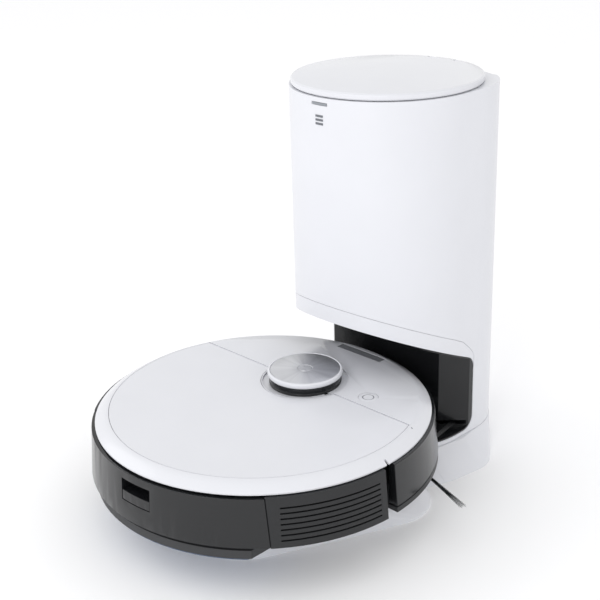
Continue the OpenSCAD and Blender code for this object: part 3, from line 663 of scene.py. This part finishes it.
class VACUUM_OT_wheels(bpy.types.Operator):
    """Finish the drive wheels"""

    bl_idname = "vacuum.wheels"
    bl_label = "Drive wheels"

    def execute(self, context):
        sizes = context.scene.vacuum_sizes
        rubber, nylon = soft_rubber(), grey_nylon()
        for side in ("right", "left"):
            softened("tyre_" + side, rubber, sizes.trim_edge)
            softened("wheel_hub_" + side, nylon, sizes.trim_edge)
        return {"FINISHED"}


class VACUUM_OT_mop(bpy.types.Operator):
    """Sew the mop pad"""

    bl_idname = "vacuum.mop"
    bl_label = "Mop pad"

    def execute(self, context):
        low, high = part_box("mop_pad")
        radius = -low.y
        front = -high.y
        edge = math.asin(front / radius)
        arc = np.linspace(-math.pi + edge, -edge, 90)
        line = np.linspace(1, -1, 60)[1:-1]
        half = min(high.x, radius * math.cos(edge))
        rim = np.stack([np.clip(radius * np.cos(arc), -half, half), radius * np.sin(arc)], -1)
        outline = np.concatenate([rim, np.stack([half * line, np.full(line.shape, -front)], -1)])
        grid = pillow(outline, low.z, high.z, 22)
        pad = make("mop_cloth", grid, quads(len(grid), len(outline), False, True).tolist(), "tank",
                   microfibre(), 60)
        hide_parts("mop_pad")
        return {"FINISHED"}


class VACUUM_OT_main_brush(bpy.types.Operator):
    """Wind the main brush: a core with six fins that sweep into a V"""

    bl_idname = "vacuum.main_brush"
    bl_label = "Main brush"

    def execute(self, context):
        sizes = context.scene.vacuum_sizes
        low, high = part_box("main_brush")
        centre = (low + high) / 2
        journal, pin, core, chamfer = 6 * MM, 3 * MM, 9 * MM, 0.8 * MM
        reach, half = (high.z - low.z) / 2, (high.x - low.x) / 2 - journal
        steps, fin_root = 61, 7 * MM
        along = np.linspace(-half + 1 * MM, half - 1 * MM, steps)
        twist = sizes.fin_twist * np.abs(along) / half
        section = np.array([(-0.5, fin_root), (0.5, fin_root), (0.42, reach - chamfer), (0.2, reach),
                            (-0.2, reach), (-0.42, reach - chamfer)])
        wide, deep = section[:, 0] * sizes.fin_wave, section[:, 1]
        orange = orange_silicone()
        faces = quads(steps, len(section), False, True)
        first = list(range(len(section)))
        ends = [first, [(steps - 1) * len(section) + i for i in first[::-1]]]
        points, all_faces = [], []
        for fin in range(FINS):
            turn = (twist + ROUND * fin / FINS)[:, None]
            blade = np.stack([np.broadcast_to(along[:, None], (steps, len(section))),
                              centre.y + deep * np.cos(turn) - wide * np.sin(turn),
                              centre.z + deep * np.sin(turn) + wide * np.cos(turn)], -1)
            points.append(blade.reshape(-1, 3))
            offset = fin * steps * len(section)
            all_faces += (faces + offset).tolist() + [[i + offset for i in end] for end in ends]
        brush = make("brush_fins", np.concatenate(points), all_faces, "brush", orange, 40)
        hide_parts("main_brush")
        profile = np.array([(-half - journal, 0), (-half - journal, pin), (-half, pin),
                            (-half, core - chamfer), (-half + chamfer, core), (half - chamfer, core),
                            (half, core - chamfer), (half, pin), (half + journal, pin), (half + journal, 0)])
        turn = np.linspace(0, ROUND, CORE_STEPS, endpoint=False)[:, None]
        grid = np.stack([np.broadcast_to(profile[:, 0], (CORE_STEPS, len(profile))),
                         centre.y + profile[:, 1] * np.cos(turn),
                         centre.z + profile[:, 1] * np.sin(turn)], -1)
        faces = quads(CORE_STEPS, len(profile), True, True).tolist()
        make("brush_core", grid, faces, "brush", grey_nylon())
        return {"FINISHED"}


class VACUUM_OT_side_brushes(bpy.types.Operator):
    """Bundle the side brushes: thin fibres that fan out and droop from each arm"""

    bl_idname = "vacuum.side_brushes"
    bl_label = "Side brushes"

    def execute(self, context):
        sizes = context.scene.vacuum_sizes
        fibre = nylon_fibre()
        for side, sign in (("right", 1), ("left", -1)):
            softened("side_brush_" + side, satin_black_abs(), 0.3 * MM)
            hub = frame_joint("side_brush_spin_" + side)
            low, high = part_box("bristles_" + side)
            level, reach, root = (low.z + high.z) / 2, sizes.fibre_reach, sizes.fibre_root
            number, steps, sides, root_width = sizes.fibres, 8, 4, 2.6 * MM
            along = np.linspace(0, 1, steps)
            lane = np.linspace(-0.5, 0.5, number)
            droop = (high.z - low.z) * 0.4
            points, faces = [], []
            face = quads(steps, sides, False, True)
            caps = [[0, 1, 2, 3], [(steps - 1) * sides + i for i in (3, 2, 1, 0)]]
            for tuft in range(TUFTS):
                angle = sizes.first_tuft + ROUND * tuft / TUFTS
                length = (reach - root) * (1 - 0.06 * np.abs(np.sin(37 * lane + tuft)))
                x = root + length[:, None] * along
                y = lane[:, None] * (root_width + (sizes.tuft_spread - root_width) * along ** 1.5)
                z = level + 0.5 * MM * np.sin(53 * lane)[:, None] - droop * along ** 2
                centres = np.stack([x, y, z], -1)
                thin = np.broadcast_to(sizes.fibre_width / 2 * (1 - 0.5 * along), x.shape)
                grid = tube(centres, thin, thin, sides).reshape(-1, 3)
                c, s = math.cos(angle), math.sin(angle)
                turned = np.stack([grid[:, 0] * c - grid[:, 1] * s, grid[:, 0] * s + grid[:, 1] * c,
                                   grid[:, 2]], -1)
                points.append(turned * (sign, 1, 1) + (hub[0], hub[1], 0))
                for lane_number in range(number):
                    offset = (tuft * number + lane_number) * steps * sides
                    faces += (face + offset).tolist() + [[i + offset for i in cap] for cap in caps]
            tufts = make("fibres_" + side, np.concatenate(points), faces, "sweeper_" + side, fibre,
                         60)
            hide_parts("bristles_" + side)
        return {"FINISHED"}


def frame_joint(name):
    """A joint's point in the row frame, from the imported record."""
    return next(j["pos_m"] for j in frame["joints"] if j["name"] == name)


class VACUUM_PT_panel(bpy.types.Panel):
    """Steps that finish the vacuum"""

    bl_label = "Docked Robot Vacuum"
    bl_idname = "VACUUM_PT_panel"
    bl_space_type = "VIEW_3D"
    bl_region_type = "UI"
    bl_category = "Vacuum"

    def draw(self, context):
        for step in STEPS:
            self.layout.operator(step.bl_idname)
        for group in ("vacuum_sizes", "vacuum_colours", "vacuum_stage"):
            settings = getattr(context.scene, group)
            for key in settings.__annotations__:
                self.layout.prop(settings, key)


STEPS = (VACUUM_OT_stage, VACUUM_OT_station_shells, VACUUM_OT_station_inside, VACUUM_OT_robot_shells,
         VACUUM_OT_side_panels, VACUUM_OT_turret, VACUUM_OT_robot_inside, VACUUM_OT_wheels, VACUUM_OT_mop,
         VACUUM_OT_main_brush, VACUUM_OT_side_brushes)
GROUPS = (VacuumSizes, VacuumColours, VacuumStage)


def register():
    """Registers the settings, the steps and the panel."""
    for item in (*GROUPS, *STEPS, VACUUM_PT_panel):
        bpy.utils.register_class(item)
    bpy.types.Scene.vacuum_sizes = PointerProperty(type=VacuumSizes)
    bpy.types.Scene.vacuum_colours = PointerProperty(type=VacuumColours)
    bpy.types.Scene.vacuum_stage = PointerProperty(type=VacuumStage)


def unregister():
    """Takes them away again."""
    for name in ("vacuum_sizes", "vacuum_colours", "vacuum_stage"):
        delattr(bpy.types.Scene, name)
    for item in reversed((*GROUPS, *STEPS, VACUUM_PT_panel)):
        bpy.utils.unregister_class(item)


def main():
    """Runs every step."""
    register()
    for step in STEPS:
        group, name = step.bl_idname.split(".")
        getattr(getattr(bpy.ops, group), name)()


if __name__ == "__main__":
    main()
